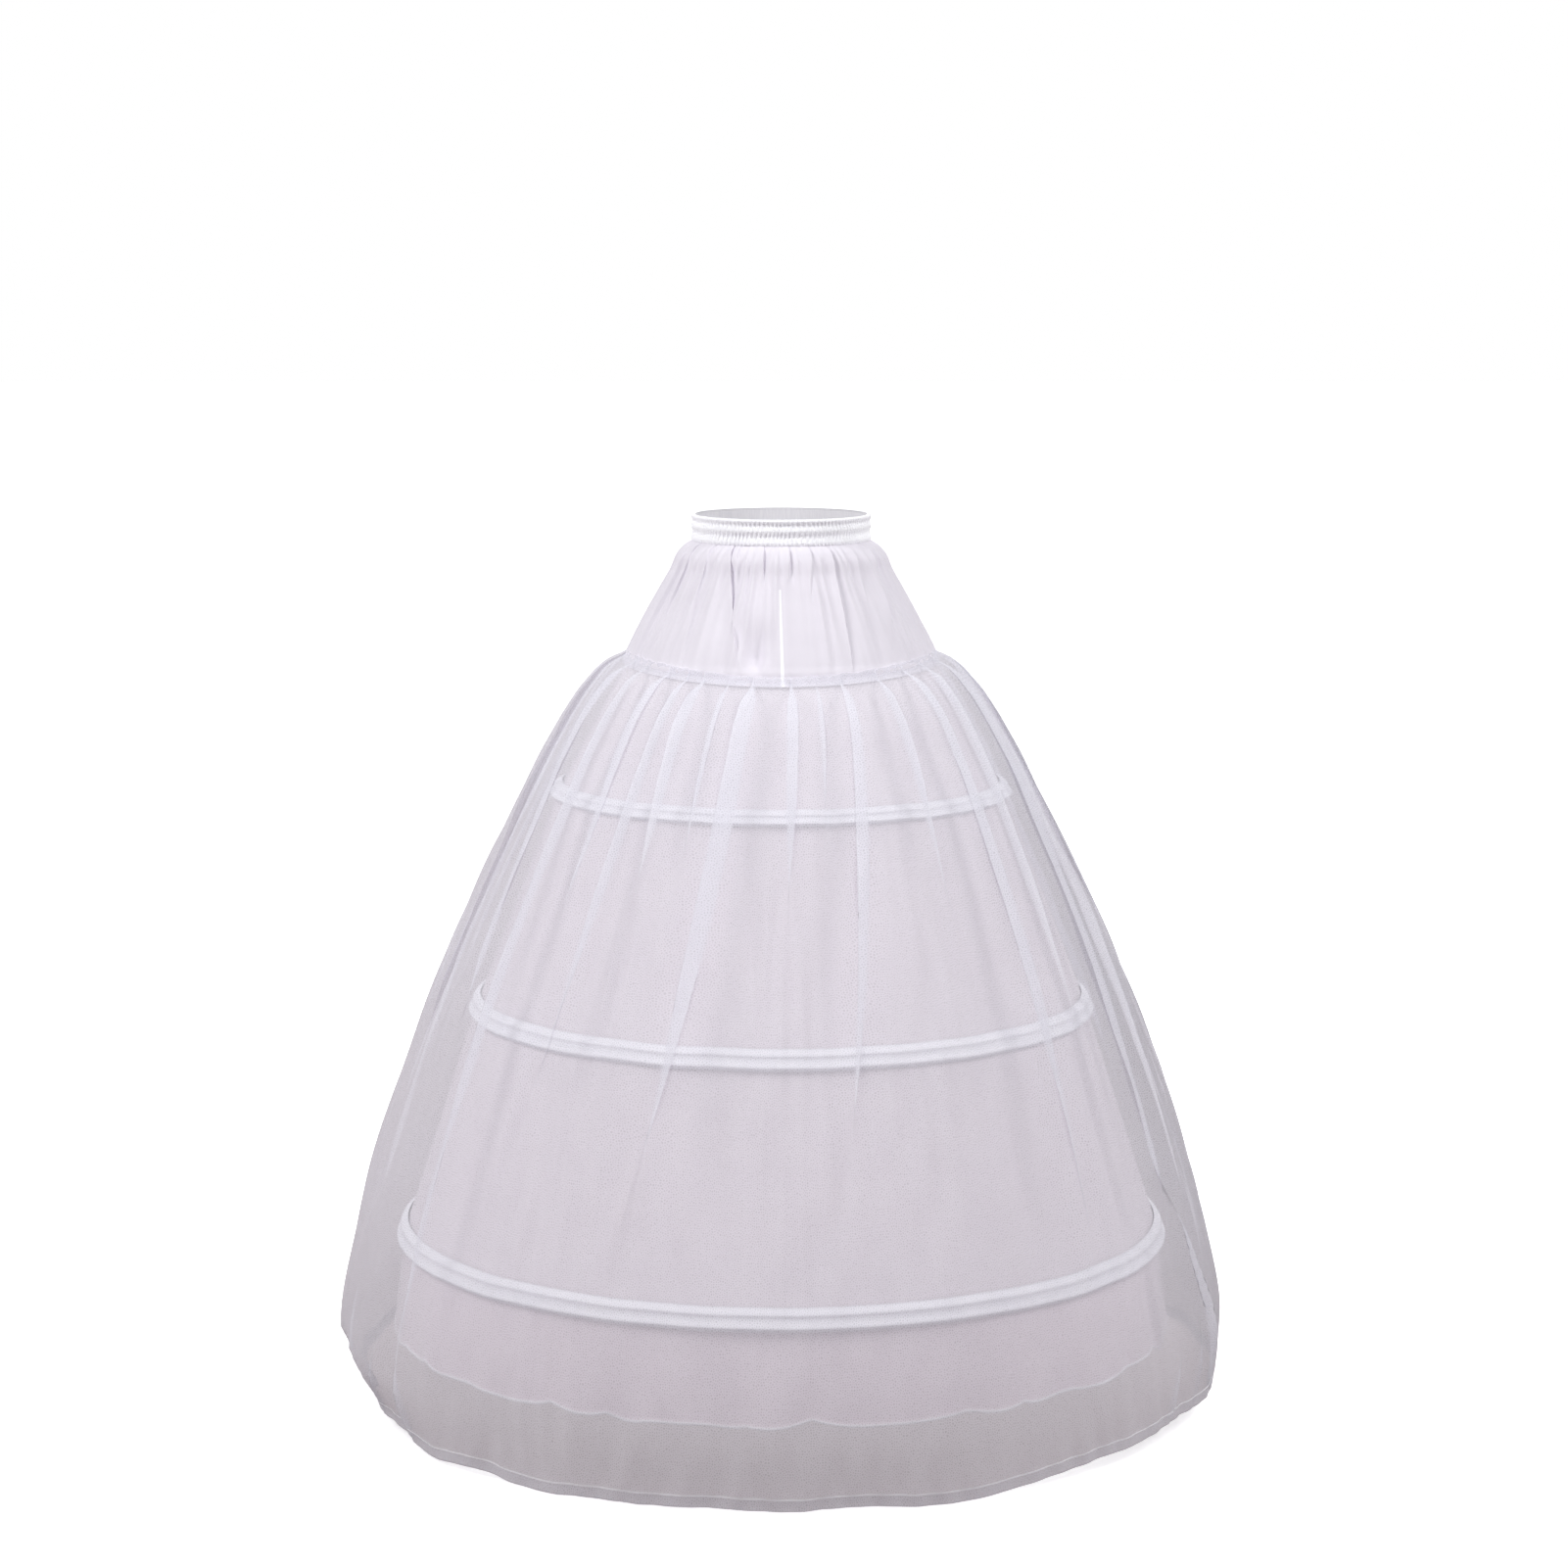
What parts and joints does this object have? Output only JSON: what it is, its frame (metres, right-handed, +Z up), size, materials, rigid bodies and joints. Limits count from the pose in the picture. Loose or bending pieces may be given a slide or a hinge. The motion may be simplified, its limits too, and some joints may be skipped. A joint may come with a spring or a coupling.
{
  "type": "hoop crinoline petticoat",
  "caption": "Bridal hoop petticoat: elastic waistband, gathered hip yoke and flared lining held out by steel hoops in tape casings, under a sheer folded tulle overskirt.",
  "frame": {"origin": "centre of the waist opening, half way up the elastic", "axes": "+Z up out of the waist, the front of the skirt faces -Y and the hoops are joined at the back on +Y"},
  "size_m": [1.054, 1.0538, 1.026],
  "materials": {
    "band_fabric": "white satin-weave polyester, shirred over the elastic",
    "elastic_webbing": "white woven elastic webbing",
    "yoke_fabric": "white polyester taffeta, gathered",
    "lining_fabric": "white polyester taffeta, plain",
    "casing_tape": "white twill tape",
    "tulle_net": "soft white nylon tulle net",
    "coated_steel": "flat spring steel with a white nylon coat",
    "clear_plastic": "smooth milky plastic"
  },
  "bodies": {
    "root": {"waistband_cover": "band_fabric", "waist_elastic": "elastic_webbing", "hip_yoke": "yoke_fabric", "lining_tier_upper": "lining_fabric", "lining_tier_middle": "lining_fabric", "lining_tier_lower": "lining_fabric", "hem_flounce": "lining_fabric", "overskirt": "tulle_net", "hoop_casing_upper": "casing_tape", "hoop_upper": "coated_steel", "hoop_connector_upper": "clear_plastic", "hoop_casing_middle": "casing_tape", "hoop_middle": "coated_steel", "hoop_connector_middle": "clear_plastic", "hoop_casing_lower": "casing_tape", "hoop_lower": "coated_steel", "hoop_connector_lower": "clear_plastic"}
  },
  "joints": []
}
